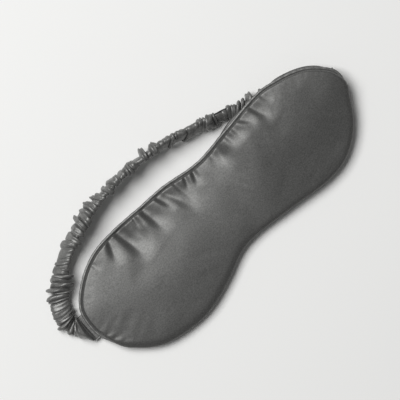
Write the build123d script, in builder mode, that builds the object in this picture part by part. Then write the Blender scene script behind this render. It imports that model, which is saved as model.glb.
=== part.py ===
from build123d import *
import os

# Sleep eye mask, lying face up with its strap loop folded to the brow side.
# Millimetres. +X runs to the mask's right end, +Y to the brow, +Z up.
# The origin is on the flat of the back, near the nose bridge.

# ---- driving dimensions ----
BACK_HEIGHT = 0.0          # underside of the back panel on the flat stretch
SEAM_LOW = 3.2             # underside of the piping
SEAM_HIGH = 5.2            # top of the piping
FRONT_HEIGHT = 9.5         # top of the front panel
CLOTH = 0.6                # thickness of one satin panel with its seam allowance
LINING = 0.5               # blackout lining
PIPING_WIDTH = 1.8         # how far the piping stands out round the panels
PIPING_WALL = 0.35         # satin strip round the piping's cord
WADDING_INSET = 4.5        # room at the edge for the seam allowances
THREAD = 0.4               # sewing thread

LIFT_START = 5.0           # the back leaves the flat here, to pass over the strap
LIFT_END = 40.0            # and has reached its full lift here
LIFT = 6.2                 # how far the right lobe is lifted
REACH = 130.0              # half the length of the sections that trim the mask's layers
PRISM_START = -1.0         # the outline's prism, from below the mask to above it
PRISM_HEIGHT = 30.0

STRAP_THICKNESS = 4.6      # gathered sleeve, over both walls
STRAP_END_THICKNESS = 3.0  # where the sleeve is pressed flat for sewing
CORNER = 1.2               # rounding of the sleeve's section
ELASTIC_WIDTH = 9.5
ELASTIC_THICKNESS = 1.0
ELASTIC_ROOM = 0.3         # free space round the elastic in its sleeve
SPAN_GAP = 0.2             # half the gap between two spans of the strap

TAB_THICKNESS = 0.8        # strap end pressed flat in the seam
TAB_CLEARANCE = 0.2        # free space between a strap end and the piping over it
TAB_TOP = SEAM_LOW - TAB_CLEARANCE
LEFT_TAB_Y = (-9.0, 9.0)
LEFT_TAB_X = (-110.2, -103.0)
RIGHT_TAB_Y = (1.0, 15.0)
RIGHT_TAB_X = (98.0, 105.2)
FOLD_WALL = 1.3            # strap end where it is folded under the right tip
FOLD_BOTTOM = 1.2
TACK_LENGTH = 12.0
TACK_WIDTH = 1.4

# Outline of the mask over its piping, clockwise from the left end.
OUTLINE = [
    (-108, -3), (-105, 12), (-92, 24), (-76, 31.2), (-58, 33.1), (-36, 32.5),
    (-18, 32), (7, 28.6), (32, 31.3), (60, 34.4), (80, 32), (96, 24.3),
    (105.5, 10.5), (101, -6), (90, -21.5), (74, -31.7), (56, -34.4), (28, -31.3),
    (-3, -29.3), (-28, -36.3), (-53, -41.8), (-80, -38), (-97, -26), (-105, -14),
]

# The strap is a flat band that turns onto its edge. Each station gives the two edges
# of the band: the one that is uppermost in the middle of the loop, then the other.
STATIONS_LEFT = [
    ((-110.2, 9.0, 2.6), (-110.2, -9.0, 2.6)),
    ((-110.5, 10.2, 3.2), (-118.6, 1.5, 2.5)),
    ((-109.2, 12.2, 3.6), (-122.4, 9.5, 2.5)),
    ((-106.8, 15.5, 4.6), (-121.8, 17.5, 2.5)),
    ((-103.5, 20.5, 6.0), (-117.5, 25.0, 2.4)),
]
STATIONS_MIDDLE = [
    STATIONS_LEFT[-1],
    ((-98.6, 26.6, 8.0), (-110.5, 33.2, 2.3)),
    ((-92.0, 33.0, 10.5), (-101.5, 40.2, 2.2)),
    ((-84.0, 38.8, 12.8), (-90.5, 46.2, 2.1)),
    ((-72.0, 44.6, 14.6), (-75.5, 50.3, 2.0)),
    ((-58.0, 48.6, 15.6), (-60.0, 53.2, 2.0)),
    ((-42.0, 51.2, 16.0), (-42.5, 54.6, 2.0)),
    ((-26.0, 52.2, 16.0), (-26.0, 54.8, 2.0)),
    ((-11.0, 51.6, 16.0), (-12.5, 51.6, 2.0)),
    ((3.0, 50.4, 15.8), (0.5, 47.8, 2.0)),
    ((17.0, 47.4, 14.6), (13.0, 43.2, 2.0)),
    ((29.5, 44.0, 12.6), (24.5, 38.6, 2.0)),
    ((39.5, 41.6, 9.0), (34.2, 35.6, 2.2)),
]
STATIONS_RIGHT = [
    STATIONS_MIDDLE[-1],
    ((50.0, 38.0, 5.4), (44.5, 27.8, 2.4)),
    ((62.0, 34.0, 3.0), (57.0, 21.6, 2.5)),
    ((76.0, 30.8, 2.7), (70.5, 16.6, 2.5)),
    ((89.0, 25.6, 2.7), (83.0, 11.0, 2.5)),
    ((97.5, 20.0, 2.7), (93.5, 5.0, 2.5)),
    ((103.4, 15.0, 2.7), (103.4, 1.0, 2.5)),
]

os.makedirs("parts", exist_ok=True)


def finish(builder, name):
    """Name a finished piece and write its file."""
    builder.part.label = name
    export_step(builder.part, f"parts/{name}.step")


def drawn_in(points, inset):
    """Move each point of a closed clockwise outline inwards, square to its neighbours."""
    moved = []
    for number, point in enumerate(points):
        before = Vector(*points[number - 1])
        after = Vector(*points[(number + 1) % len(points)])
        along = (after - before).normalized()
        inwards = Vector(along.Y, -along.X)
        moved.append(Vector(*point) + inwards * inset)
    return moved


def mask_face(inset):
    """The mask's outline, drawn in by an inset, as a face below the mask."""
    with BuildSketch(Plane.XY.offset(PRISM_START)) as outline:
        with BuildLine():
            Spline(*drawn_in(OUTLINE, inset), periodic=True)
        make_face()
    return outline.sketch


def layer_section(low, high):
    """What lies between two heights over the flat, and is lifted over the strap."""
    with BuildSketch(Plane.XZ) as side_view:
        with BuildLine():
            lower = Spline(
                (LIFT_START, low), (LIFT_END, low + LIFT), tangents=[(1, 0), (1, 0)]
            )
            upper = Spline(
                (LIFT_START, high), (LIFT_END, high + LIFT), tangents=[(1, 0), (1, 0)]
            )
            Line((-REACH, low), lower @ 0)
            Line(lower @ 1, (REACH, low + LIFT))
            Line((REACH, low + LIFT), (REACH, high + LIFT))
            Line((REACH, high + LIFT), upper @ 1)
            Line(upper @ 0, (-REACH, high))
            Line((-REACH, high), (-REACH, low))
        make_face()
    return side_view.sketch


def layer(inset, low, high):
    """Fill the mask's outline, drawn in by an inset, between two heights."""
    extrude(mask_face(inset), amount=PRISM_HEIGHT)
    extrude(layer_section(low, high), amount=REACH, both=True, mode=Mode.INTERSECT)


def edge_ring(outer_inset, inner_inset, low, high):
    """A ring along the mask's edge between two insets and two heights."""
    extrude(mask_face(outer_inset), amount=PRISM_HEIGHT)
    extrude(mask_face(inner_inset), amount=PRISM_HEIGHT, mode=Mode.SUBTRACT)
    extrude(layer_section(low, high), amount=REACH, both=True, mode=Mode.INTERSECT)


def block(x_span, y_span, z_span, mode=Mode.ADD):
    """A plain block given by its spans."""
    centre = (sum(x_span) / 2, sum(y_span) / 2, sum(z_span) / 2)
    with Locations(centre):
        Box(
            x_span[1] - x_span[0],
            y_span[1] - y_span[0],
            z_span[1] - z_span[0],
            mode=mode,
        )


def tab_height(lift):
    """Low and high side of a strap end inside the seam."""
    return (TAB_TOP - TAB_THICKNESS + lift, TAB_TOP + lift)


def strap_face(station, ahead, behind, width, thickness, corner, shift):
    """The strap's section at one station, square to the way the strap runs."""
    upper = Vector(*station[0])
    lower = Vector(*station[1])
    centre = (upper + lower) * 0.5
    run = (Vector(*ahead[0]) + Vector(*ahead[1]) - Vector(*behind[0]) - Vector(*behind[1])) * 0.5
    across = (upper - lower).normalized()
    along = (run - across * run.dot(across)).normalized()
    place = Plane(origin=centre + along * shift, x_dir=across, z_dir=along)
    reach = (upper - lower).length if width is None else width
    with BuildSketch(place) as section:
        Rectangle(reach, thickness)
        if corner > 0:
            fillet(section.vertices(), corner)
    return section.sketch


def strap_span(stations, width, thickness, end_thickness, corner):
    """Loft one span of the strap through its stations."""
    last = len(stations) - 1
    faces = []
    for number, station in enumerate(stations):
        ahead = stations[min(number + 1, last)]
        behind = stations[max(number - 1, 0)]
        shift = 0
        if number == 0:
            shift = SPAN_GAP
        if number == last:
            shift = -SPAN_GAP
        sewn = station in (STATIONS_LEFT[0], STATIONS_RIGHT[-1])
        depth = end_thickness if sewn else thickness
        faces.append(strap_face(station, ahead, behind, width, depth, corner, shift))
    loft(faces, ruled=True)


def tack_room(lift):
    """Low and high side of the room for a strap end and the tack on it."""
    low, high = tab_height(lift)
    return (low, high + THREAD)


# ---- mask: panels, fill and edge ----

with BuildPart() as front_room:
    layer(PIPING_WIDTH + CLOTH, SEAM_HIGH, FRONT_HEIGHT - CLOTH)

with BuildPart() as back_room:
    layer(PIPING_WIDTH + CLOTH, BACK_HEIGHT + CLOTH, SEAM_LOW)

with BuildPart() as front_panel:
    layer(PIPING_WIDTH, SEAM_HIGH, FRONT_HEIGHT)
    add(front_room.part, mode=Mode.SUBTRACT)
finish(front_panel, "front_panel")

with BuildPart() as back_panel:
    layer(PIPING_WIDTH, BACK_HEIGHT, SEAM_LOW)
    add(back_room.part, mode=Mode.SUBTRACT)
    block(LEFT_TAB_X, LEFT_TAB_Y, tab_height(0), mode=Mode.SUBTRACT)
    block(RIGHT_TAB_X, RIGHT_TAB_Y, tab_height(LIFT), mode=Mode.SUBTRACT)
finish(back_panel, "back_panel")

with BuildPart() as blackout_lining:
    layer(WADDING_INSET, FRONT_HEIGHT - CLOTH - LINING, FRONT_HEIGHT - CLOTH)
finish(blackout_lining, "blackout_lining")

with BuildPart() as wadding:
    layer(WADDING_INSET, BACK_HEIGHT + CLOTH, FRONT_HEIGHT - CLOTH - LINING)
    block(LEFT_TAB_X, LEFT_TAB_Y, tack_room(0), mode=Mode.SUBTRACT)
    block(RIGHT_TAB_X, RIGHT_TAB_Y, tack_room(LIFT), mode=Mode.SUBTRACT)
finish(wadding, "wadding")

with BuildPart() as piping_cord:
    edge_ring(
        PIPING_WALL, PIPING_WIDTH - PIPING_WALL,
        SEAM_LOW + PIPING_WALL, SEAM_HIGH - PIPING_WALL,
    )
finish(piping_cord, "piping_cord")

with BuildPart() as piping_cover:
    edge_ring(0, PIPING_WIDTH, SEAM_LOW, SEAM_HIGH)
    add(piping_cord.part, mode=Mode.SUBTRACT)
finish(piping_cover, "piping_cover")

with BuildPart() as edge_seam_thread:
    middle = (SEAM_LOW + SEAM_HIGH) / 2
    edge_ring(PIPING_WIDTH, PIPING_WIDTH + THREAD, middle - THREAD / 2, middle + THREAD / 2)
finish(edge_seam_thread, "edge_seam_thread")


# ---- strap: end pieces sewn in the edge seam ----

with BuildPart() as strap_end_left:
    block(LEFT_TAB_X, LEFT_TAB_Y, tab_height(0))
finish(strap_end_left, "strap_end_left")

with BuildPart() as strap_end_right:
    block(RIGHT_TAB_X, RIGHT_TAB_Y, tab_height(LIFT))
    block(
        (RIGHT_TAB_X[1] - FOLD_WALL, RIGHT_TAB_X[1]),
        RIGHT_TAB_Y,
        (FOLD_BOTTOM, TAB_TOP + LIFT),
    )
finish(strap_end_right, "strap_end_right")

TACKS = {
    "left": (LEFT_TAB_X[1] - TACK_WIDTH, LEFT_TAB_Y, 0),
    "right": (RIGHT_TAB_X[0], RIGHT_TAB_Y, LIFT),
}
for side, (inner_end, tab_y, lift) in TACKS.items():
    with BuildPart() as strap_tack:
        tab_centre = sum(tab_y) / 2
        block(
            (inner_end, inner_end + TACK_WIDTH),
            (tab_centre - TACK_LENGTH / 2, tab_centre + TACK_LENGTH / 2),
            (TAB_TOP + lift, TAB_TOP + lift + THREAD),
        )
    finish(strap_tack, f"strap_tack_{side}")

# ---- strap: gathered sleeve and the elastic inside it ----

SPANS = {"left": STATIONS_LEFT, "middle": STATIONS_MIDDLE, "right": STATIONS_RIGHT}
for side, stations in SPANS.items():
    with BuildPart() as strap_elastic:
        strap_span(stations, ELASTIC_WIDTH, ELASTIC_THICKNESS, ELASTIC_THICKNESS, 0)
    finish(strap_elastic, f"strap_elastic_{side}")

    room = ELASTIC_THICKNESS + 2 * ELASTIC_ROOM
    with BuildPart() as elastic_room:
        strap_span(stations, ELASTIC_WIDTH + 2 * ELASTIC_ROOM, room, room, 0)

    with BuildPart() as strap_sleeve:
        strap_span(stations, None, STRAP_THICKNESS, STRAP_END_THICKNESS, CORNER)
        add(elastic_room.part, mode=Mode.SUBTRACT)
    finish(strap_sleeve, f"strap_sleeve_{side}")
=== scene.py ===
import math

import bmesh
import bpy
import numpy as np
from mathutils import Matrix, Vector
from mathutils.geometry import delaunay_2d_cdt


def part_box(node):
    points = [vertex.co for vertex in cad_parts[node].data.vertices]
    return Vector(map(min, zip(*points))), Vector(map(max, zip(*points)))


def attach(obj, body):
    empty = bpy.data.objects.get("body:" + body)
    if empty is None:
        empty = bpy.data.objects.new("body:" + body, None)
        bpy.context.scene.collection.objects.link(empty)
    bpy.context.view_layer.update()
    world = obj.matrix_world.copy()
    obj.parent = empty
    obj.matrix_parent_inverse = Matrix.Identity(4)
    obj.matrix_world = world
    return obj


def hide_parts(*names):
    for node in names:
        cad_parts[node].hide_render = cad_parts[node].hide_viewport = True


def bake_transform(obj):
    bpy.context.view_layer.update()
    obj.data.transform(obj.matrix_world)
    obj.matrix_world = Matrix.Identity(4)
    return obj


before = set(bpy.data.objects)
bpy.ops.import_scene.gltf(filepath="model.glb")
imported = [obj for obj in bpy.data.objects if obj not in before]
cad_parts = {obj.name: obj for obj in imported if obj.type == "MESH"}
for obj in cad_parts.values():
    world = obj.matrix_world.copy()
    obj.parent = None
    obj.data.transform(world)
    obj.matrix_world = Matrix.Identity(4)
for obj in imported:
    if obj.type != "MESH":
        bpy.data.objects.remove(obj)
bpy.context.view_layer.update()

MM = 0.001
BATCH = 2000               # places worked on at a time, to keep the arrays small

# ---------------------------------------------------------------- camera
VIEW_CENTRE = (-7.5 * MM, 10.5 * MM)   # what the picture is centred on
VIEW_WIDTH = 240 * MM
VIEW_ROLL = 43                          # degrees that the mask's right end points up
CAMERA_HEIGHT = 1.3
FOCUS_HEIGHT = 6 * MM                   # height at which the picture is VIEW_WIDTH wide
SENSOR_MM = 36


def add_camera():
    """A camera straight above the mask."""
    data = bpy.data.cameras.new("camera")
    data.sensor_width = SENSOR_MM
    data.lens = SENSOR_MM * (CAMERA_HEIGHT - FOCUS_HEIGHT) / VIEW_WIDTH
    camera = bpy.data.objects.new("camera", data)
    camera.location = (*VIEW_CENTRE, CAMERA_HEIGHT)
    camera.rotation_euler = (0, 0, math.radians(-VIEW_ROLL))
    bpy.context.collection.objects.link(camera)
    bpy.context.scene.camera = camera


add_camera()
bpy.context.scene.view_settings.view_transform = "Standard"


# ---------------------------------------------------------------- small tools
def smooth(t):
    """Smooth step from 0 to 1."""
    t = np.clip(t, 0, 1)
    return t * t * (3 - 2 * t)


def cubic(a, b, c, d, t):
    """Points between b and c, at shares t, on a smooth curve through a, b, c and d."""
    return 0.5 * (2 * b + (c - a) * t + (2 * a - 5 * b + 4 * c - d) * t**2
                  + (3 * b - a - 3 * c + d) * t**3)


def closed_spline(points, count):
    """Points evenly spaced along a smooth closed curve through the given points."""
    points = np.array(points, float)
    t = np.linspace(0, 1, 40, endpoint=False)[:, None]
    curve = []
    for i in range(len(points)):
        a, b, c, d = (points[(i + k) % len(points)] for k in (-1, 0, 1, 2))
        curve.append(cubic(a, b, c, d, t))
    curve = np.concatenate(curve)
    closed = np.vstack([curve, curve[:1]])
    length = np.concatenate([[0], np.cumsum(np.linalg.norm(np.diff(closed, axis=0), axis=1))])
    even = np.linspace(0, length[-1], count, endpoint=False)
    return np.stack([np.interp(even, length, closed[:, k]) for k in range(closed.shape[1])], 1)


def open_spline(points, count):
    """Points evenly spaced in parameter along a smooth open curve through the points."""
    points = np.array(points, float)
    first = 2 * points[0] - points[1]
    last = 2 * points[-1] - points[-2]
    p = np.vstack([first, points, last])
    where = np.linspace(0, len(points) - 1, count)
    i = np.minimum(where.astype(int), len(points) - 2)
    t = (where - i)[:, None]
    return cubic(p[i], p[i + 1], p[i + 2], p[i + 3], t)


def make_object(name, vertices, faces, smooth_shade=True):
    """A new mesh object in the scene."""
    mesh = bpy.data.meshes.new(name)
    mesh.from_pydata([tuple(v) for v in vertices], [], [tuple(f) for f in faces])
    mesh.validate()
    if smooth_shade:
        mesh.polygons.foreach_set("use_smooth", [True] * len(mesh.polygons))
    mesh.update()
    thing = bpy.data.objects.new(name, mesh)
    bpy.context.collection.objects.link(thing)
    return thing


def grid_faces(rows, columns, closed=True):
    """Faces that join rows of points, each row closed on itself or not."""
    faces = []
    for i in range(rows - 1):
        for k in range(columns if closed else columns - 1):
            m = (k + 1) % columns
            faces.append((i * columns + k, (i + 1) * columns + k,
                          (i + 1) * columns + m, i * columns + m))
    return faces


def joined_points(edge, x, y):
    """The points of a closed edge and those inside it, and the triangles that join them."""
    points = [Vector((float(a), float(b))) for a, b in edge]
    points += [Vector((float(a), float(b))) for a, b in zip(x, y)]
    border = [(i, (i + 1) % len(edge)) for i in range(len(edge))]
    found = delaunay_2d_cdt(points, border, [], 1, 1e-9)
    return np.array([tuple(p) for p in found[0]]), [list(f) for f in found[2]]


# ---------------------------------------------------------------- the mask's shape
# Outline over the piping, as the CAD model draws it, fitted to the piping's box.
OUTLINE_MM = [
    (-108, -3), (-105, 12), (-92, 24), (-76, 31.2), (-58, 33.1), (-36, 32.5),
    (-18, 32), (7, 28.6), (32, 31.3), (60, 34.4), (80, 32), (96, 24.3),
    (105.5, 10.5), (101, -6), (90, -21.5), (74, -31.7), (56, -34.4), (28, -31.3),
    (-3, -29.3), (-28, -36.3), (-53, -41.8), (-80, -38), (-97, -26), (-105, -14),
]
AROUND = 720                      # points round the outline
SEAM_HEIGHT = 4.2 * MM            # middle of the piping over the flat
PIPING_RADIUS = 0.95 * MM
PANEL_EDGE = 3.1 * MM             # height of the rounded edge above the seam
PANEL_CROWN = 1.9 * MM            # further rise to the middle
EDGE_ROUND = 4.2 * MM             # width of the rounded edge at the lower left,
EDGE_ROUND_BROW = 1.9 * MM        # along the brow,
EDGE_ROUND_RIGHT = 1.2 * MM       # and round the right lobe
SEAM_INSET = 1.75 * MM            # where the panels meet the piping, in from the outline
RIM_CURVE = 0.95                  # how sharply a panel turns in from the seam
RIM_RINGS = 16
GRID_STEP = 1.0 * MM              # of the triangular grid in the panels' middle,
ROW_STEP = 0.866 * GRID_STEP      # and between its rows
BROW_SET_BACK = 0.9 * MM          # the outline is drawn in where the back panel shows,
LOWER_SET_BACK = 2.1 * MM         # and where the edge is tucked under
LIFT = 6.2 * MM                   # how high the strap holds up the mask's right end
LIFT_START = 5 * MM
LIFT_END = 40 * MM
LOWER_EDGE_LIFT = 0.15            # share of the lift at the right lobe's lower edge
LOWER_EDGE_Y = -34 * MM
TILT_WIDTH = 62 * MM
CROWN_STEP = 1.5 * MM             # grid on which the dome's shape is worked out
CROWN_REACH = 15 * MM             # how far in from the edge the dome keeps rising
CROWN_ROUNDS = 900
UNEVEN = 0.10 * MM                # soft unevenness of the front panel
UNEVEN_SIZE = 22 * MM


def fitted_outline():
    """The outline as evenly spaced points, stretched to the CAD piping's box."""
    low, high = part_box("piping_cover")
    line = closed_spline(np.array(OUTLINE_MM) * MM, AROUND)
    for axis in (0, 1):
        values = line[:, axis]
        span = values.max() - values.min()
        line[:, axis] = low[axis] + (values - values.min()) * (high[axis] - low[axis]) / span
    return line


def brow_right(x, y):
    """1 along the right lobe's brow, where the back panel shows beyond the piping."""
    return smooth((x / MM - 62) / 14) * smooth((y / MM - 10) / 12)


def lower_right(x, y):
    """1 round the right lobe's end and below, where the edge is tucked under."""
    return smooth((x / MM + 38) / 30) * smooth((7 - y / MM) / 16)


def directions_inward(line):
    """Unit directions across a closed line, towards its inside."""
    along = np.roll(line, -1, 0) - np.roll(line, 1, 0)
    along /= np.linalg.norm(along, axis=1)[:, None]
    return np.stack([along[:, 1], -along[:, 0]], 1)


outline = fitted_outline()
inward = directions_inward(outline)
set_back = BROW_SET_BACK * brow_right(*outline.T) + LOWER_SET_BACK * lower_right(*outline.T)
outline += inward * set_back[:, None]
outline_x_mm, outline_y_mm = outline.T / MM


def lift(x, y):
    """How far the mask is raised where it lies over its strap."""
    over = smooth((x - LIFT_START) / (LIFT_END - LIFT_START))
    tilt = LOWER_EDGE_LIFT + (1 - LOWER_EDGE_LIFT) * smooth((y - LOWER_EDGE_Y) / TILT_WIDTH)
    return LIFT * over * tilt


def inside_outline(x, y):
    """Whether each place is inside the outline."""
    px, py = outline.T
    qx, qy = np.roll(px, -1), np.roll(py, -1)
    result = np.zeros(len(x), bool)
    for i in range(0, len(x), BATCH):
        cx, cy = x[i:i + BATCH, None], y[i:i + BATCH, None]
        crosses = (py > cy) != (qy > cy)
        at = px + (cy - py) * (qx - px) / np.where(qy == py, 1e-12, qy - py)
        result[i:i + BATCH] = (crosses & (cx < at)).sum(1) % 2 == 1
    return result


def solve_crown():
    """A dome over the outline, 0 at the edge and 1 in the middle, on a square grid."""
    (x_low, y_low), (x_high, y_high) = outline.min(0), outline.max(0)
    x = np.arange(x_low - 2 * CROWN_STEP, x_high + 3 * CROWN_STEP, CROWN_STEP)
    y = np.arange(y_low - 2 * CROWN_STEP, y_high + 3 * CROWN_STEP, CROWN_STEP)
    gx, gy = np.meshgrid(x, y, indexing="ij")
    inside = inside_outline(gx.ravel(), gy.ravel()).reshape(gx.shape)
    field = np.zeros(gx.shape)
    pull = (CROWN_STEP / CROWN_REACH) ** 2
    for _ in range(CROWN_ROUNDS):
        around = (np.roll(field, 1, 0) + np.roll(field, -1, 0)
                  + np.roll(field, 1, 1) + np.roll(field, -1, 1))
        field = np.where(inside, (around + pull) / (4 + pull), 0)
    return x, y, field / field.max()


crown_x, crown_y, crown_field = solve_crown()


def crown(x, y):
    """The dome's height at any place, from 0 to 1."""
    fx = np.clip((x - crown_x[0]) / (crown_x[1] - crown_x[0]), 0, len(crown_x) - 1.001)
    fy = np.clip((y - crown_y[0]) / (crown_y[1] - crown_y[0]), 0, len(crown_y) - 1.001)
    i, j = fx.astype(int), fy.astype(int)
    u, v = fx - i, fy - j
    near = (1 - u) * crown_field[i, j] + u * crown_field[i + 1, j]
    far = (1 - u) * crown_field[i, j + 1] + u * crown_field[i + 1, j + 1]
    return (1 - v) * near + v * far


def nearest_edge(x, y):
    """Distance in from the outline, and the number of the nearest outline point."""
    distance, number = np.empty(len(x)), np.empty(len(x), int)
    for i in range(0, len(x), BATCH):
        dx = x[i:i + BATCH, None] - outline[None, :, 0]
        dy = y[i:i + BATCH, None] - outline[None, :, 1]
        square = dx * dx + dy * dy
        distance[i:i + BATCH] = np.sqrt(square.min(1))
        number[i:i + BATCH] = square.argmin(1)
    return distance, number


def edge_distance(x, y):
    """Distance in from the outline."""
    return nearest_edge(x, y)[0]


# Pleats that the gathered brow seam sends into the front panel. Each is a groove from
# one place to another, with its half width and depth, all in millimetres.
PLEATS = [
    ((-82.5, 28.0), (-79.5, 20.5), 1.0, 0.5),
    ((-64.0, 31.0), (-69.5, 16.0), 2.3, 1.7),
    ((-62.0, 29.0), (-61.0, 15.0), 1.8, 0.5),
    ((-58.0, 31.0), (-51.5, 5.0), 4.2, 3.4),
    ((-48.5, 30.0), (-46.0, 12.0), 2.4, 0.8),
    ((-44.5, 30.0), (-44.0, 21.5), 1.5, 0.9),
    ((-37.5, 30.0), (-33.0, 9.5), 3.2, 2.4),
    ((-26.0, 30.0), (-20.5, 16.5), 2.2, 1.8),
    ((-21.0, 29.5), (-8.5, 5.0), 3.4, 1.6),
    ((-12.5, 29.0), (-9.5, 13.0), 1.9, 1.0),
    ((-5.0, 28.0), (-8.0, 18.5), 1.2, 1.1),
    ((1.0, 27.0), (-2.5, 17.0), 1.4, 1.5),
    ((15.5, 27.5), (17.0, 16.0), 2.6, 0.9),
    ((21.0, 27.5), (18.0, 10.5), 2.4, 0.8),
    ((29.5, 28.5), (32.0, 18.0), 1.9, 0.9),
    ((35.5, 29.5), (37.5, 18.5), 1.9, 0.9),
    ((41.0, 31.0), (50.0, 21.0), 2.2, 1.2),
    ((51.5, 32.0), (58.0, 15.0), 2.8, 1.6),
    ((61.0, 31.5), (67.0, 22.0), 2.1, 0.7),
    ((-103.5, -10.5), (-93.5, -14.0), 1.4, 0.35),
    ((-101.5, -15.0), (-90.0, -20.0), 1.8, 0.55),
    ((-98.0, -20.0), (-88.5, -25.0), 1.5, 0.35),
]
PLEAT_RIDGE = 0.08       # height of the ridges beside a groove, as a share of its depth
RIDGE_AT = 2.1           # how far from the groove's middle a ridge is, in half widths
PLEAT_SLACK = 2.1        # how much wider the gentle side of a groove is than its steep side
PLEAT_NARROW = 0.60      # a groove's half width at the seam, as a share of the listed one,
PLEAT_SPREAD = 0.85      # and how much it widens by its far end


def pleat_depth(x, y):
    """How far the brow pleats push the surface in at each place."""
    total = np.zeros(len(x))
    for start, end, half_width, depth in PLEATS:
        a, b = np.array(start) * MM, np.array(end) * MM
        along = b - a
        length = np.linalg.norm(along)
        along /= length
        px, py = x - a[0], y - a[1]
        t = (px * along[0] + py * along[1]) / length
        side = -px * along[1] + py * along[0]
        width = half_width * MM * (PLEAT_NARROW + PLEAT_SPREAD * np.clip(t, 0, 1))
        fade = smooth((t + 0.20) / 0.30) * (1 - smooth((t - 0.30) / 0.80))
        q = side / width
        q = np.where(q > 0, q / PLEAT_SLACK, q)
        groove = np.exp(-q * q) - PLEAT_RIDGE * np.exp(-(np.abs(q) - RIDGE_AT) ** 2)
        total += depth * MM * fade * groove
    return total


def low_noise(x, y, seed, size, count=26):
    """Soft seeded unevenness, about -1 to 1, with features of the given size."""
    local = np.random.default_rng(seed)
    total = np.zeros(len(x))
    for _ in range(count):
        angle = local.uniform(0, math.pi)
        phase = local.uniform(0, 2 * math.pi)
        wave = 2 * math.pi / (size * local.uniform(0.7, 1.8))
        total += np.sin((x * math.cos(angle) + y * math.sin(angle)) * wave + phase)
    return total / math.sqrt(count)


# The next three functions give one value for each point of the outline.
FRONT_BULGE = 2.975 * MM          # the front panel hides the piping below and at the right,
BACK_BULGE_STRAP = 3.1 * MM       # and the back panel shows beyond it over the strap,
BACK_BULGE_BROW = 2.6 * MM        # and along the right lobe's brow


def front_bulge():
    """How far the front panel bulges out over the piping."""
    below = smooth((-outline_y_mm - 2) / 24)
    right = smooth((outline_x_mm - 62) / 22) * smooth((11 - outline_y_mm) / 12)
    return FRONT_BULGE * np.clip(below + right, 0, 1)


def back_bulge():
    """How far the back panel bulges out below the piping."""
    beside_strap = np.exp(-(((outline_x_mm - 38) / 15) ** 2)) * smooth((outline_y_mm - 10) / 12)
    brow = brow_right(*outline.T) * (1 - beside_strap)
    return BACK_BULGE_STRAP * beside_strap + BACK_BULGE_BROW * brow


def edge_round():
    """Width of the panels' rounded edge."""
    wide = smooth((-outline_y_mm - 2) / 18) * (1 - smooth((outline_x_mm + 45) / 50))
    tight = smooth((outline_x_mm + 10) / 40) * smooth((12 - outline_y_mm) / 12)
    return (EDGE_ROUND_BROW + (EDGE_ROUND - EDGE_ROUND_BROW) * wide
            + (EDGE_ROUND_RIGHT - EDGE_ROUND_BROW) * tight)


def rim_rings(upper):
    """A panel's rounded edge: rings of places and a height for each, from the seam in."""
    bulge = front_bulge() if upper else back_bulge()
    rise = PANEL_EDGE if upper else -SEAM_HEIGHT
    rings = []
    for k in range(RIM_RINGS + 1):
        turned = (k / RIM_RINGS) ** 1.15
        angle = math.pi / 2 * turned
        # the bulge: the front's is full for most of the edge, the back's only near the seam
        if upper:
            out = math.sin(math.pi * turned ** 0.7) ** 0.6
        else:
            out = math.sin(min(1.0, angle * 1.4) * math.pi) ** 0.8
        inset = SEAM_INSET + edge_round() * (1 - math.cos(angle)) ** RIM_CURVE - bulge * out
        rings.append((outline + inward * inset[:, None], SEAM_HEIGHT + rise * math.sin(angle)))
    return rings


def middle_points():
    """Places on a triangular grid inside a panel's rounded edge."""
    (x_low, y_low), (x_high, y_high) = outline.min(0), outline.max(0)
    columns = np.arange(x_low, x_high, GRID_STEP)
    rows = np.arange(y_low, y_high, ROW_STEP)
    x, y = np.meshgrid(columns, rows, indexing="ij")
    x = (x + (np.arange(len(rows)) % 2)[None, :] * GRID_STEP / 2).ravel()
    y = y.ravel()
    keep = inside_outline(x, y)
    x, y = x[keep], y[keep]
    distance, nearest = nearest_edge(x, y)
    keep = distance > (SEAM_INSET + edge_round() + 0.6 * GRID_STEP)[nearest]
    return x[keep], y[keep]


def panel_mesh(name, upper):
    """One satin panel: rounded rim rings from the seam, then a filled middle."""
    rings = rim_rings(upper)
    inner, top = rings[-1]
    flat, triangles = joined_points(inner, *middle_points())
    x, y = np.concatenate([xy for xy, _ in rings[:-1]] + [flat]).T
    z = np.concatenate([np.repeat([level for _, level in rings[:-1]], AROUND),
                        np.full(len(flat), top)])
    # the rings' points by number; the innermost ring is part of the filled middle
    first_flat = RIM_RINGS * AROUND
    numbers = np.arange(first_flat).reshape(RIM_RINGS, AROUND).tolist()
    numbers.append([first_flat + int(np.argmin(np.sum((flat - p) ** 2, 1))) for p in inner])
    faces = []
    for here, further in zip(numbers, numbers[1:]):
        for i in range(AROUND):
            j = (i + 1) % AROUND
            face = (here[i], here[j], further[j], further[i])
            faces.append((face[0], *face[:0:-1]) if upper else face)
    for triangle in triangles:
        face = [first_flat + i for i in triangle]
        faces.append(face if upper else face[::-1])
    if upper:
        taper = smooth((z - SEAM_HEIGHT) / (0.8 * PANEL_EDGE))
        z = z + PANEL_CROWN * crown(x, y) * taper
        z = z - pleat_depth(x, y) * smooth((z - SEAM_HEIGHT) / (0.35 * PANEL_EDGE))
        z = z + UNEVEN * low_noise(x, y, seed=3, size=UNEVEN_SIZE) * taper
    z = z + lift(x, y)
    return make_object(name, np.stack([x, y, z], 1), faces)


CLOTH_FRAMES = 14
CLOTH_QUALITY = 6
CLOTH_PRESSURE = 5.0              # how hard the wadding pushes the panel out
CLOTH_STIFFNESS = 18
CLOTH_SHEAR = 6
CLOTH_BENDING = 5.0
CLOTH_MASS = 0.12
HELD_WIDTH = 2.2 * MM             # held still this far in from the seam,
HELD_FADE = 1.5 * MM              # and freed over this much more
DEEPEST_SINK = 0.1 * MM
FURTHEST_MOVE = 1.5 * MM


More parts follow.
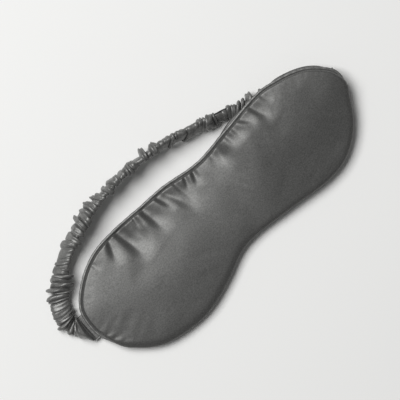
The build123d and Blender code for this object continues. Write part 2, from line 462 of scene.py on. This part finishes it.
def let_cloth_settle(panel):
    """Let a panel held at its seam swell and crease as cloth, and keep its new shape."""
    before = np.array([v.co[:] for v in panel.data.vertices])
    inset = edge_distance(before[:, 0], before[:, 1])
    held = (1 - smooth((inset - HELD_WIDTH) / HELD_FADE)).round(2)
    group = panel.vertex_groups.new(name="held")
    for weight in np.unique(held):
        group.add(np.nonzero(held == weight)[0].tolist(), float(weight), "REPLACE")
    cloth = panel.modifiers.new("cloth", "CLOTH")
    settings = cloth.settings
    settings.vertex_group_mass = group.name
    settings.quality = CLOTH_QUALITY
    settings.mass = CLOTH_MASS
    settings.tension_stiffness = CLOTH_STIFFNESS
    settings.compression_stiffness = CLOTH_STIFFNESS
    settings.shear_stiffness = CLOTH_SHEAR
    settings.bending_stiffness = CLOTH_BENDING
    settings.use_pressure = True
    settings.uniform_pressure_force = CLOTH_PRESSURE
    settings.effector_weights.gravity = 0
    cloth.collision_settings.use_collision = False
    cloth.point_cache.frame_start = 1
    cloth.point_cache.frame_end = CLOTH_FRAMES
    for frame_number in range(1, CLOTH_FRAMES + 1):
        bpy.context.scene.frame_set(frame_number)
    settled = panel.evaluated_get(bpy.context.evaluated_depsgraph_get())
    move = np.array([v.co[:] for v in settled.data.vertices]) - before
    panel.modifiers.remove(cloth)
    panel.vertex_groups.remove(group)
    bpy.context.scene.frame_set(1)
    move[:, 2] = np.maximum(move[:, 2], -DEEPEST_SINK)
    length = np.linalg.norm(move, axis=1)
    move *= (np.minimum(length, FURTHEST_MOVE) / np.maximum(length, 1e-9))[:, None]
    panel.data.vertices.foreach_set("co", (before + move).ravel())
    panel.data.update()


front = panel_mesh("front_panel_satin", True)
let_cloth_settle(front)
back = panel_mesh("back_panel_satin", False)


CLOTH_THICKNESS = 0.25 * MM
CORD_RADIUS = 0.55 * MM
STITCH_INSET = 1.95 * MM
STITCH_POINTS = 3                 # outline points in one stitch
THREAD_RADIUS = 0.14 * MM
THREAD_SIDES = 6
LINING_INSET = 4.5 * MM           # in from the outline, and down from the front panel
LINING_DEPTH = 0.55 * MM
WADDING_INSET = 3.8 * MM
WADDING_ROUND = 4.0 * MM          # width of the wadding's rounded edge
WADDING_GAP_ABOVE = 0.6 * MM      # to the lining, and to the back panel
WADDING_GAP_BELOW = 0.7 * MM
WADDING_UNEVEN = 0.15 * MM
LAYER_STEP = 2 * MM


def rim_tube(name, radius, sides, uneven):
    """A tube that follows the outline: the piping, or the cord inside it."""
    number = np.arange(AROUND)
    centre = outline + inward * PIPING_RADIUS
    level = SEAM_HEIGHT + lift(*centre.T)
    girth = radius * (1 + uneven * (np.sin(number * 0.9) + np.sin(number * 0.37 + 1)))
    vertices = []
    for k in range(sides):
        angle = 2 * math.pi * k / sides
        xy = centre - inward * (girth * math.cos(angle))[:, None]
        vertices.append(np.column_stack([xy, level + girth * math.sin(angle)]))
    vertices = np.concatenate(vertices)
    faces = []
    for k in range(sides):
        m = (k + 1) % sides
        for i in range(AROUND):
            j = (i + 1) % AROUND
            faces.append((k * AROUND + i, k * AROUND + j, m * AROUND + j, m * AROUND + i))
    return make_object(name, vertices, faces)


def tube_along(points, radius, sides, first, vertices, faces):
    """Add a closed round bar that follows the points to lists of vertices and faces."""
    points = np.array(points)
    way = np.gradient(points, axis=0)
    way /= np.linalg.norm(way, axis=1)[:, None]
    side = np.cross(way, (0, 0, 1.0))
    side /= np.linalg.norm(side, axis=1)[:, None]
    up = np.cross(side, way)
    for place, out, high in zip(points, side, up):
        for k in range(sides):
            angle = 2 * math.pi * k / sides
            vertices.append(place + radius * (out * math.cos(angle) + high * math.sin(angle)))
    walls = grid_faces(len(points), sides)
    faces += [tuple(first + i for i in face[::-1]) for face in walls]
    faces.append([first + k for k in range(sides)][::-1])
    faces.append([first + (len(points) - 1) * sides + k for k in range(sides)])


def stitch_ring(name):
    """The edge seam's stitches, one short bar of thread each, between piping and panels."""
    line = outline + inward * STITCH_INSET
    place = np.column_stack([line, SEAM_HEIGHT + lift(*line.T)])
    vertices, faces = [], []
    for start in range(0, AROUND, STITCH_POINTS):
        chosen = [place[(start + k) % AROUND] for k in range(STITCH_POINTS)]
        tube_along(chosen, THREAD_RADIUS, THREAD_SIDES, len(vertices), vertices, faces)
    return make_object(name, vertices, faces)


def rim_profile(distance):
    """How far up its rounded rim a panel is, 0 to 1, at a distance in from the outline."""
    t = np.clip((distance - SEAM_INSET) / EDGE_ROUND, 0, 1)
    cosine = 1 - t ** (1 / RIM_CURVE)
    return np.sqrt(np.clip(1 - cosine**2, 0, 1))


def front_height(x, y, distance):
    """Height of the front panel."""
    rise = rim_profile(distance)
    taper = smooth(rise / 0.8)
    swell = PANEL_CROWN * crown(x, y) - pleat_depth(x, y)
    return SEAM_HEIGHT + PANEL_EDGE * rise + swell * taper + lift(x, y)


def back_height(x, y, distance):
    """Height of the back panel."""
    return SEAM_HEIGHT * (1 - rim_profile(distance)) + lift(x, y)


def layer_points(inset):
    """Places inside the outline drawn in by an inset, and the triangles that join them."""
    edge = outline[::3] + inward[::3] * inset
    (x_low, y_low), (x_high, y_high) = outline.min(0), outline.max(0)
    columns, rows = np.arange(x_low, x_high, LAYER_STEP), np.arange(y_low, y_high, LAYER_STEP)
    x, y = (v.ravel() for v in np.meshgrid(columns, rows, indexing="ij"))
    keep = inside_outline(x, y)
    x, y = x[keep], y[keep]
    keep = edge_distance(x, y) > inset + 0.5 * LAYER_STEP
    flat, triangles = joined_points(edge, x[keep], y[keep])
    return flat[:, 0], flat[:, 1], triangles


def lining_mesh(name):
    """The blackout lining, close under the front panel."""
    x, y, faces = layer_points(LINING_INSET)
    z = front_height(x, y, edge_distance(x, y)) - LINING_DEPTH
    return make_object(name, np.column_stack([x, y, z]), faces)


def wadding_mesh(name):
    """The wadding: a closed crowned pad that fills the room between the panels."""
    x, y, top_faces = layer_points(WADDING_INSET)
    distance = edge_distance(x, y)
    t = np.clip((distance - WADDING_INSET) / WADDING_ROUND, 0, 1)
    full = np.sqrt(1 - (1 - t) ** 2)
    middle = SEAM_HEIGHT + lift(x, y)
    top = front_height(x, y, distance) - LINING_DEPTH - WADDING_GAP_ABOVE
    bottom = back_height(x, y, distance) + WADDING_GAP_BELOW
    uneven = WADDING_UNEVEN * low_noise(x, y, seed=8, size=9 * MM) * full
    high = middle + (top - middle - np.abs(uneven)) * full
    low = middle - (middle - bottom - np.abs(uneven)) * full
    # the upper and lower halves share the points of the pad's edge
    number = np.arange(len(x))
    lower = np.where(t <= 1e-6, number, number + len(x)).tolist()
    vertices = np.concatenate([np.column_stack([x, y, high]), np.column_stack([x, y, low])])
    faces = top_faces + [[lower[i] for i in face][::-1] for face in top_faces]
    pad = make_object(name, vertices, faces)
    drop_loose(pad)
    return pad


def drop_loose(thing):
    """Remove vertices that no face uses."""
    work = bmesh.new()
    work.from_mesh(thing.data)
    loose = [v for v in work.verts if not v.link_faces]
    bmesh.ops.delete(work, geom=loose, context="VERTS")
    work.to_mesh(thing.data)
    work.free()


def thicken(thing, thickness):
    """Give a single cloth surface its thickness, on the inner side."""
    solid = thing.modifiers.new("thickness", "SOLIDIFY")
    solid.thickness = thickness
    solid.offset = -1


def stands_for(node):
    """Hide the CAD node that this piece replaces."""
    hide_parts(node)


piping = rim_tube("piping_satin", PIPING_RADIUS, sides=14, uneven=0.05)
cord = rim_tube("piping_filler_cord", CORD_RADIUS, sides=8, uneven=0.02)
stitches = stitch_ring("edge_stitches")
lining = lining_mesh("blackout_lining_cloth")
wadding = wadding_mesh("wadding_pad")
thicken(front, CLOTH_THICKNESS)
thicken(back, CLOTH_THICKNESS)

stands_for("front_panel")
stands_for("back_panel")
stands_for("piping_cover")
stands_for("piping_cord")
stands_for("edge_seam_thread")
stands_for("blackout_lining")
stands_for("wadding")
for piece in (front, back, piping, cord, stitches, lining, wadding):
    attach(piece, "mask")


# ---------------------------------------------------------------- the strap
# The strap's band, as its two edges at each station, the same route as the CAD model's.
# The first edge is uppermost in the middle of the loop. Millimetres.
STATIONS_MM = [
    ((-109.6, 9.0, 2.6), (-109.6, -9.0, 2.6)),
    ((-110.5, 10.2, 3.2), (-118.6, 1.5, 2.5)),
    ((-109.2, 12.2, 3.6), (-122.4, 9.5, 2.5)),
    ((-106.8, 15.5, 4.6), (-121.8, 17.5, 2.5)),
    ((-103.5, 20.5, 6.0), (-117.5, 25.0, 2.4)),
    ((-98.6, 26.6, 8.0), (-110.5, 33.2, 2.3)),
    ((-92.0, 33.0, 10.5), (-101.5, 40.2, 2.2)),
    ((-84.0, 38.8, 12.8), (-90.5, 46.2, 2.1)),
    ((-72.0, 44.6, 14.6), (-75.5, 50.3, 2.0)),
    ((-58.0, 48.6, 15.6), (-60.0, 53.2, 2.0)),
    ((-42.0, 51.2, 16.0), (-42.5, 54.6, 2.0)),
    ((-26.0, 52.2, 16.0), (-26.0, 54.8, 2.0)),
    ((-11.0, 51.6, 16.0), (-12.5, 51.6, 2.0)),
    ((3.0, 50.4, 15.8), (0.5, 47.8, 2.0)),
    ((17.0, 47.4, 14.6), (13.0, 43.2, 2.0)),
    ((29.5, 44.0, 12.6), (24.5, 38.6, 2.0)),
    ((39.5, 41.6, 9.0), (34.2, 35.6, 2.2)),
    ((50.0, 38.0, 5.4), (44.5, 27.8, 2.4)),
    ((62.0, 34.0, 3.0), (57.0, 21.6, 2.5)),
    ((76.0, 30.8, 2.7), (70.5, 16.6, 2.5)),
    ((89.0, 25.6, 2.7), (83.0, 11.0, 2.5)),
    ((97.5, 20.0, 2.7), (93.5, 5.0, 2.5)),
    ((103.4, 15.0, 2.7), (103.4, 1.0, 2.5)),
]
LEFT_JOIN, APEX, RIGHT_JOIN = 4, 11, 16   # stations where the strap's pieces meet
ROUTE_POINTS = 1200
ALONG_STEP = 0.30 * MM
HALF_THICKNESS = 1.5 * MM         # of the flat band that the folds stand out from


def strap_route():
    """The strap's two edges, evenly spaced, with the station and distance of each point."""
    upper = open_spline([s[0] for s in STATIONS_MM], ROUTE_POINTS) * MM
    lower = open_spline([s[1] for s in STATIONS_MM], ROUTE_POINTS) * MM
    station = np.linspace(0, len(STATIONS_MM) - 1, ROUTE_POINTS)
    # distance along the strap, measured between its middle and its longer edge
    middle = (upper + lower) / 2
    outer = np.maximum(
        np.linalg.norm(np.diff(upper, axis=0), axis=1),
        np.linalg.norm(np.diff(lower, axis=0), axis=1),
    )
    inner = np.linalg.norm(np.diff(middle, axis=0), axis=1)
    length = np.concatenate([[0], np.cumsum((outer + inner) / 2)])
    even = np.arange(0, length[-1], ALONG_STEP)
    edges = [
        np.stack([np.interp(even, length, edge[:, k]) for k in range(3)], 1)
        for edge in (upper, lower)
    ]
    return *edges, np.interp(even, length, station), even


upper_edge, lower_edge, station_at, along_at = strap_route()
strap_middle = (upper_edge + lower_edge) / 2
across = upper_edge - lower_edge
strap_half_width = np.linalg.norm(across, axis=1) / 2
across /= np.linalg.norm(across, axis=1)[:, None]
run = np.gradient(strap_middle, axis=0)
run -= across * np.sum(run * across, axis=1)[:, None]
run /= np.linalg.norm(run, axis=1)[:, None]
face_out = np.cross(across, run)


def periodic_noise(along, angle, seed, along_size, turns, count=24):
    """Soft seeded noise over the tube: along its length and round its section."""
    local = np.random.default_rng(seed)
    total = np.zeros(np.broadcast(along, angle).shape)
    for _ in range(count):
        wave = 2 * math.pi / (along_size * local.uniform(0.6, 1.9))
        turn = local.integers(-turns, turns + 1)
        total = total + np.sin(along * wave + angle * turn + local.uniform(0, 2 * math.pi))
    return total / math.sqrt(count / 2)


def unevenness(along, seed, size):
    """Soft seeded noise along the strap, about -1 to 1."""
    local = np.random.default_rng(seed)
    knots = np.arange(0, along_at[-1] + 3 * size, size)
    values = local.uniform(-1, 1, len(knots))
    at = along / size
    i = np.clip(at.astype(int), 0, len(knots) - 2)
    t = smooth(at - i)
    return values[i] * (1 - t) + values[i + 1] * t


FOLD_SEED = 12
FOLD_SPACING = 3.0 * MM
FOLD_WIDTHS = (0.55, 0.75, 0.95, 1.15, 1.5, 1.9)          # in fold spacings,
FOLD_CHANCES = (0.16, 0.24, 0.24, 0.18, 0.12, 0.06)       # and how often each comes up
FOLD_HEIGHT = 3.2 * MM
FOLD_SPREAD = 0.30                # how much wider a crest is than its foot
FOLD_LEAN = 0.252                 # how far a crest leans over, in fold widths
INNER_SHARE = 0.34                # height of the folds at the band's inner side
INNER_SHARE_RIGHT = 0.35          # and how much more at the right
SEWN_END_FOLDS = 7
SEWN_END_WIDER = 1.15
SEWN_END_FADE = 5 * MM            # the folds die out over this much at the sewn ends
EDGE_ROOM = 2.4 * MM              # room for the folds inside the band's edges
LOWEST_SLEEVE = 0.3 * MM
ROWS_PER_FOLD = 12
SECTION_POINTS = 64


def plan_folds():
    """Each fold's start, width, height, tallest side, and how deep its crest is split."""
    local = np.random.default_rng(FOLD_SEED)
    widths = []
    while sum(widths) < along_at[-1]:
        widths.append(FOLD_SPACING * local.choice(FOLD_WIDTHS, p=FOLD_CHANCES))
    widths = np.array(widths)
    widths[:SEWN_END_FOLDS] *= SEWN_END_WIDER
    widths *= along_at[-1] / sum(widths)
    starts = np.concatenate([[0], np.cumsum(widths)])[:-1]
    count = len(widths)
    heights = local.uniform(0.35, 1.25, count) * (0.70 + 0.40 * widths / FOLD_SPACING)
    heights *= 1 + 0.35 * unevenness(starts, seed=31, size=11 * MM)
    tall_sides = local.uniform(0, 2 * math.pi, count)
    splits = np.where(widths > 1.1 * FOLD_SPACING, local.uniform(0.2, 0.5, count), 0)
    return starts, widths, heights, tall_sides, splits


def ruffled_tube():
    """The gathered sleeve as rings of points, and how far along the strap each ring is."""
    starts, *traits = plan_folds()
    x = np.tile(np.arange(ROWS_PER_FOLD) / ROWS_PER_FOLD, len(starts))[:, None]
    fold = np.repeat(np.arange(len(starts)), ROWS_PER_FOLD)
    width, height, tall_side, split = (trait[fold][:, None] for trait in traits)
    ring = starts[fold][:, None] + x * width
    # x is the share of the way over a fold, q the angle round the section
    q = (np.arange(SECTION_POINTS) * 2 * math.pi / SECTION_POINTS)[None, :]
    ends = smooth(ring / SEWN_END_FADE) * smooth((along_at[-1] - ring) / SEWN_END_FADE)
    # height of the folds round the section: tall at the outer side, low at the inner side
    outer = 0.5 + 0.5 * np.sin(q)
    edges = np.abs(np.cos(q)) ** 3
    share = ring / along_at[-1]
    inner = INNER_SHARE + INNER_SHARE_RIGHT * smooth((share - 0.45) / 0.15)
    around = inner + (1 - inner) * np.maximum(outer**0.8, 0.9 * edges)
    tall = height * (0.78 + 0.42 * np.cos(q - tall_side))
    round_top = np.sin(math.pi * x) ** 0.62
    dent = np.exp(-(((x - 0.52) / 0.09) ** 2)) * (0.6 + 0.4 * np.sin(2 * q))
    swell = FOLD_HEIGHT * tall * around * round_top * (1 - split * dent)
    swell = swell * (1 + 0.14 * periodic_noise(ring, q, seed=41, along_size=5 * MM, turns=4))
    swell = swell * (0.10 + 0.90 * ends)
    # the crests are wider than their feet, lean over, and run across at a slant
    spread = -0.5 * FOLD_SPREAD * np.sin(2 * math.pi * x) * width
    lean = FOLD_LEAN * width * np.cos(q - tall_side * 1.7) * round_top
    slant = 2.2 * MM * unevenness(ring, seed=51, size=16 * MM) * np.cos(q)
    slant = slant + 1.4 * MM * unevenness(ring, seed=52, size=9 * MM) * np.sin(q)
    along = np.clip(ring + (spread + lean + slant) * ends, 0, along_at[-1])
    # the band's place and frame at each of those distances
    i = np.clip(along / ALONG_STEP, 0, len(along_at) - 1.001)
    k = i.astype(int)
    t = (i - k)[..., None]
    middle, side, out = (v[k] * (1 - t) + v[k + 1] * t for v in (strap_middle, across, face_out))
    half = strap_half_width[k] - EDGE_ROOM * ends
    thick = HALF_THICKNESS * (0.35 + 0.65 * ends)
    wide = np.sign(np.cos(q)) * np.abs(np.cos(q)) ** 0.85 * half
    deep = np.sign(np.sin(q)) * np.abs(np.sin(q)) ** 0.85 * thick
    away_wide, away_deep = np.cos(q) * thick**0.6, np.sin(q) * half**0.6
    size = np.sqrt(away_wide**2 + away_deep**2)
    wide = wide + away_wide / size * swell
    deep = deep + away_deep / size * swell
    return middle + side * wide[..., None] + out * deep[..., None], ring[:, 0]


sleeve_points, ring_along = ruffled_tube()
sleeve_points[..., 2] = np.maximum(sleeve_points[..., 2], LOWEST_SLEEVE)
ring_station = np.interp(ring_along, along_at, station_at)


def sleeve_piece(name, first, last):
    """The sleeve between two of its rings, as its own mesh."""
    part = sleeve_points[first:last + 1]
    return make_object(name, part.reshape(-1, 3), grid_faces(len(part), SECTION_POINTS))


def ring_at(station):
    """The sleeve's ring that is nearest to a station of the route."""
    return int(np.argmin(np.abs(ring_station - station)))


ELASTIC_STEP = 0.5 * MM
ELASTIC_RIB = 2.0 * MM
ELASTIC_RIB_DEPTH = 0.10          # share of its thickness
ELASTIC_HALF_WIDTH = 4.4 * MM
ELASTIC_HALF_DEPTH = 0.42 * MM
ELASTIC_SIDES = 12
ELASTIC_ENDS_AT = 2.0 * MM        # it stops this far inside the sleeve's sewn ends


def elastic_piece(name, first, last):
    """A length of flat ribbed elastic along the middle of the band."""
    ribbon = []
    for at in np.arange(first, last + ELASTIC_STEP / 2, ELASTIC_STEP):
        i = int(np.clip(at / ALONG_STEP, 0, len(along_at) - 1))
        rib = 1 + ELASTIC_RIB_DEPTH * math.sin(at / ELASTIC_RIB * 2 * math.pi)
        ring = []
        for k in range(ELASTIC_SIDES):
            q = 2 * math.pi * k / ELASTIC_SIDES
            wide = math.copysign(abs(math.cos(q)) ** 0.35, math.cos(q)) * ELASTIC_HALF_WIDTH
            deep = math.copysign(abs(math.sin(q)) ** 0.7, math.sin(q)) * ELASTIC_HALF_DEPTH
            ring.append(strap_middle[i] + across[i] * wide + face_out[i] * deep * rib)
        ribbon.append(ring)
    faces = grid_faces(len(ribbon), ELASTIC_SIDES)
    cap = list(range(ELASTIC_SIDES))
    faces += [cap[::-1], [(len(ribbon) - 1) * ELASTIC_SIDES + k for k in cap]]
    return make_object(name, np.reshape(ribbon, (-1, 3)), faces)


# Where the sleeve and its elastic are cut into their pieces.
left_ring, apex_ring, right_ring = (ring_at(k) for k in (LEFT_JOIN, APEX, RIGHT_JOIN))
RINGS = {
    "left": (0, left_ring), "rise": (left_ring, apex_ring),
    "fall": (apex_ring, right_ring), "right": (right_ring, len(sleeve_points) - 1),
}
SPAN_NODE = {"left": "left", "rise": "middle", "fall": "middle", "right": "right"}

sleeves, elastics = [], []
for span, (first, last) in RINGS.items():
    sleeve = sleeve_piece(f"strap_sleeve_{span}_satin", first, last)
    thicken(sleeve, CLOTH_THICKNESS)
    begin = max(ring_along[first], ELASTIC_ENDS_AT)
    end = min(ring_along[last], along_at[-1] - ELASTIC_ENDS_AT)
    elastic = elastic_piece(f"strap_elastic_{span}_ribbon", begin, end)
    stands_for(f"strap_sleeve_{SPAN_NODE[span]}")
    stands_for(f"strap_elastic_{SPAN_NODE[span]}")
    for piece in (sleeve, elastic):
        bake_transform(piece)
    sleeves.append(sleeve)
    elastics.append(elastic)


STRIP_POINTS = 40                 # along a strap end, and across it
STRIP_RIPPLE = 0.18 * MM


def folded_strip(name, path, y_span, thickness, waves):
    """A pressed strap end: a strip that follows a path seen from the front."""
    line = open_spline([(x, 0, z) for x, z in path], STRIP_POINTS) * MM
    way = np.gradient(line, axis=0)
    way /= np.linalg.norm(way, axis=1)[:, None]
    off = np.stack([-way[:, 2], np.zeros(len(way)), way[:, 0]], 1)
    y = np.linspace(*y_span, STRIP_POINTS) * MM
    ripple = STRIP_RIPPLE * np.sin(np.linspace(0, waves * 2 * math.pi, STRIP_POINTS))
    vertices = []
    for side in (1, -1):
        for i in range(STRIP_POINTS):
            for k in range(STRIP_POINTS):
                edge = math.sin(math.pi * (k + 0.5) / STRIP_POINTS) ** 0.25
                shift = side * thickness * MM / 2 * edge + (ripple[k] if side > 0 else 0)
                place = line[i] + off[i] * shift
                vertices.append((place[0], y[k], place[2]))
    size = STRIP_POINTS**2
    upper = grid_faces(STRIP_POINTS, STRIP_POINTS, closed=False)
    faces = [f[::-1] for f in upper] + [tuple(size + i for i in f) for f in upper]
    # the rim joins the two sides, once round the strip's border
    last = STRIP_POINTS - 1
    rim = list(range(STRIP_POINTS))
    rim += [i * STRIP_POINTS + last for i in range(1, STRIP_POINTS)]
    rim += [last * STRIP_POINTS + k for k in range(last - 1, -1, -1)]
    rim += [i * STRIP_POINTS for i in range(last - 1, 0, -1)]
    for here, there in zip(rim, rim[1:] + rim[:1]):
        faces.append((here, there, size + there, size + here))
    return make_object(name, vertices, faces)


TACK_POINTS = 26
TACK_HALF_WIDTH = 0.6


def zigzag(name, x, y_span, z):
    """The bar tack that holds a strap end: thread sewn to and fro across it."""
    points = []
    for k, y in enumerate(np.linspace(*y_span, TACK_POINTS)):
        side = TACK_HALF_WIDTH if k % 2 else -TACK_HALF_WIDTH
        points.append(((x + side) * MM, y * MM, z * MM))
    vertices, faces = [], []
    line = open_spline(points, TACK_POINTS * 4)
    tube_along(line, THREAD_RADIUS, THREAD_SIDES, 0, vertices, faces)
    return make_object(name, vertices, faces)


# The strap ends and tacks, in millimetres. The right end folds down under the mask's tip.
right_lift = float(lift(101 * MM, 8 * MM)) / MM
LEFT_END_PATH = [(-103.2, 2.6), (-107, 2.6), (-110.0, 2.7), (-111.4, 2.6)]
RIGHT_END_PATH = [
    (98.4, 2.6 + right_lift), (102.4, 2.6 + right_lift), (104.3, 1.9 + right_lift),
    (104.8, 4.4), (104.2, 3.0), (102.6, 2.6),
]
left_end = folded_strip(
    "strap_end_left_satin", LEFT_END_PATH, y_span=(-8.8, 8.8), thickness=0.9, waves=3,
)
right_end = folded_strip(
    "strap_end_right_satin", RIGHT_END_PATH, y_span=(1.3, 14.7), thickness=0.8, waves=2,
)
left_tack = zigzag("strap_tack_left_thread", x=-104.2, y_span=(-5.8, 5.8), z=3.3)
right_tack = zigzag("strap_tack_right_thread", x=99.2, y_span=(2.2, 13.8), z=3.2 + right_lift)
stands_for("strap_end_left")
stands_for("strap_end_right")
stands_for("strap_tack_left")
stands_for("strap_tack_right")
for piece in (left_end, right_end, left_tack, right_tack):
    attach(piece, "mask")


# ---------------------------------------------------------------- materials
def new_material(name):
    """A material with its node tree and its shader."""
    material = bpy.data.materials.new(name)
    material.use_nodes = True
    tree = material.node_tree
    return material, tree, tree.nodes["Principled BSDF"]


def noise(tree, scale, detail=2, stretch=(1, 1, 1)):
    """Procedural noise by place, in features per metre."""
    place = tree.nodes.new("ShaderNodeTexCoord")
    mapping = tree.nodes.new("ShaderNodeMapping")
    mapping.inputs["Scale"].default_value = stretch
    texture = tree.nodes.new("ShaderNodeTexNoise")
    texture.inputs["Scale"].default_value = scale
    texture.inputs["Detail"].default_value = detail
    tree.links.new(place.outputs["Object"], mapping.inputs["Vector"])
    tree.links.new(mapping.outputs["Vector"], texture.inputs["Vector"])
    return texture.outputs["Fac"]


def ramp(tree, value, low, high, low_at=0.3, high_at=0.7):
    """A colour that goes from low to high with the value."""
    node = tree.nodes.new("ShaderNodeValToRGB")
    node.color_ramp.elements[0].position = low_at
    node.color_ramp.elements[1].position = high_at
    node.color_ramp.elements[0].color = (*low, 1)
    node.color_ramp.elements[1].color = (*high, 1)
    tree.links.new(value, node.inputs["Fac"])
    return node.outputs["Color"]


def between(tree, value, low, high):
    """A number that goes from low to high with the value."""
    node = tree.nodes.new("ShaderNodeMapRange")
    node.inputs["From Min"].default_value = 0.3
    node.inputs["From Max"].default_value = 0.7
    node.inputs["To Min"].default_value = low
    node.inputs["To Max"].default_value = high
    tree.links.new(value, node.inputs["Value"])
    return node.outputs["Result"]


def bump(tree, height, strength, distance, before=None):
    """Normals for a bumpy surface, laid over the normals from before."""
    node = tree.nodes.new("ShaderNodeBump")
    node.inputs["Strength"].default_value = strength
    node.inputs["Distance"].default_value = distance
    tree.links.new(height, node.inputs["Height"])
    if before is not None:
        tree.links.new(before, node.inputs["Normal"])
    return node.outputs["Normal"]


def weave(tree, threads_per_metre):
    """The fine ribs of woven threads."""
    place = tree.nodes.new("ShaderNodeTexCoord")
    wave = tree.nodes.new("ShaderNodeTexWave")
    wave.bands_direction = "DIAGONAL"
    wave.inputs["Scale"].default_value = threads_per_metre / 3.2
    wave.inputs["Distortion"].default_value = 1.5
    wave.inputs["Detail"].default_value = 1
    tree.links.new(place.outputs["Object"], wave.inputs["Vector"])
    return wave.outputs["Fac"]


def satin_material(name, dark, light, metallic, roughness, crinkle_strength):
    """Charcoal satin: a soft directional gloss over fine threads, slightly uneven."""
    material, tree, shader = new_material(name)
    shader.inputs["Metallic"].default_value = metallic
    shader.inputs["Specular IOR Level"].default_value = 0.5
    shader.inputs["Sheen Weight"].default_value = 0.12
    shader.inputs["Sheen Roughness"].default_value = 0.5
    grain = noise(tree, scale=1300, detail=3)
    patches = noise(tree, scale=70)
    crinkles = noise(tree, scale=420, detail=3)
    tree.links.new(ramp(tree, grain, dark, light, 0.32, 0.68), shader.inputs["Base Color"])
    tree.links.new(between(tree, patches, roughness - 0.03, roughness + 0.03),
                   shader.inputs["Roughness"])
    threads = bump(tree, weave(tree, threads_per_metre=2600), strength=0.12, distance=0.04 * MM)
    crinkled = bump(tree, crinkles, crinkle_strength, distance=0.12 * MM, before=threads)
    tree.links.new(crinkled, shader.inputs["Normal"])
    return material


def fibre_material(name, dark, light, roughness, scale, depth, stretch=(1, 1, 1)):
    """Matt fibres: wadding, lining, cord, thread or elastic, with bumps of the given depth."""
    material, tree, shader = new_material(name)
    shader.inputs["Specular IOR Level"].default_value = 0.25
    fibres = noise(tree, scale, 4, stretch)
    tree.links.new(ramp(tree, fibres, dark, light), shader.inputs["Base Color"])
    tree.links.new(between(tree, fibres, roughness - 0.06, roughness + 0.06),
                   shader.inputs["Roughness"])
    tree.links.new(bump(tree, fibres, 0.5, depth), shader.inputs["Normal"])
    return material


SATIN = satin_material(
    "charcoal_satin", dark=(0.090, 0.090, 0.087), light=(0.140, 0.140, 0.136),
    metallic=0.62, roughness=0.47, crinkle_strength=0.26,
)
# The same charcoal satin as the panels, with its base colour painted lighter. This is painted
# light for the sheen that the strap's folds, the piping and the strap ends catch.
LIGHTENED_SATIN = satin_material(
    "charcoal_satin_painted_lighter", dark=(0.125, 0.125, 0.121), light=(0.200, 0.200, 0.194),
    metallic=0.50, roughness=0.44, crinkle_strength=0.75,
)
WADDING = fibre_material(
    "white_wadding", dark=(0.70, 0.70, 0.68), light=(0.88, 0.88, 0.86),
    roughness=0.92, scale=600, depth=0.4 * MM,
)
LINING = fibre_material(
    "black_lining", dark=(0.012, 0.012, 0.012), light=(0.030, 0.030, 0.030),
    roughness=0.8, scale=2500, depth=0.1 * MM, stretch=(1, 0.3, 1),
)
CORD = fibre_material(
    "cotton_cord", dark=(0.62, 0.60, 0.55), light=(0.82, 0.80, 0.75),
    roughness=0.85, scale=1800, depth=0.2 * MM,
)
THREAD = fibre_material(
    "grey_thread", dark=(0.045, 0.045, 0.045), light=(0.090, 0.090, 0.088),
    roughness=0.6, scale=4000, depth=0.1 * MM,
)
ELASTIC = fibre_material(
    "black_elastic", dark=(0.020, 0.020, 0.020), light=(0.055, 0.055, 0.054),
    roughness=0.7, scale=2200, depth=0.2 * MM, stretch=(1, 0.4, 1),
)
FINISHES = (
    (SATIN, [front, back]),
    (LIGHTENED_SATIN, [piping, left_end, right_end, *sleeves]),
    (WADDING, [wadding]),
    (LINING, [lining]),
    (CORD, [cord]),
    (THREAD, [stitches, left_tack, right_tack]),
    (ELASTIC, elastics),
)
for finish, finished_pieces in FINISHES:
    for piece in finished_pieces:
        piece.data.materials.append(finish)


# ---------------------------------------------------------------- floor and light
FLOOR_HALF_WIDTH = 2
FLOOR_DROP = 0.2 * MM              # below the mask's back, so the two don't flicker
FLOOR_COLOUR = (0.86, 0.86, 0.848, 1)
KEY_LIGHT_PLACE = (-0.40, 1.06, 1.82)
KEY_LIGHT_SIZE = (1.55, 1.30)
KEY_LIGHT_POWER = 50
WORLD_LIGHT = 0.14


def add_floor():
    """A pale matt floor, larger than any view of the mask."""
    half = FLOOR_HALF_WIDTH
    sides = ((-half, -half), (half, -half), (half, half), (-half, half))
    corners = [(x, y, -FLOOR_DROP) for x, y in sides]
    floor = make_object("floor", corners, [(0, 1, 2, 3)], smooth_shade=False)
    material, _, shader = new_material("floor")
    shader.inputs["Base Color"].default_value = FLOOR_COLOUR
    shader.inputs["Roughness"].default_value = 0.9
    shader.inputs["Specular IOR Level"].default_value = 0.1
    floor.data.materials.append(material)


def add_key_light():
    """One large softbox above the brow, aimed at the mask."""
    data = bpy.data.lights.new("key", "AREA")
    data.shape = "RECTANGLE"
    data.size, data.size_y = KEY_LIGHT_SIZE
    data.energy = KEY_LIGHT_POWER
    light = bpy.data.objects.new("key", data)
    light.location = KEY_LIGHT_PLACE
    light.rotation_euler = (-Vector(KEY_LIGHT_PLACE)).to_track_quat("-Z", "Y").to_euler()
    bpy.context.collection.objects.link(light)


def add_world():
    """Weak, even light from all round."""
    world = bpy.data.worlds.new("world")
    world.use_nodes = True
    background = world.node_tree.nodes["Background"]
    background.inputs["Color"].default_value = (1, 1, 1, 1)
    background.inputs["Strength"].default_value = WORLD_LIGHT
    bpy.context.scene.world = world


add_floor()
add_key_light()
add_world()
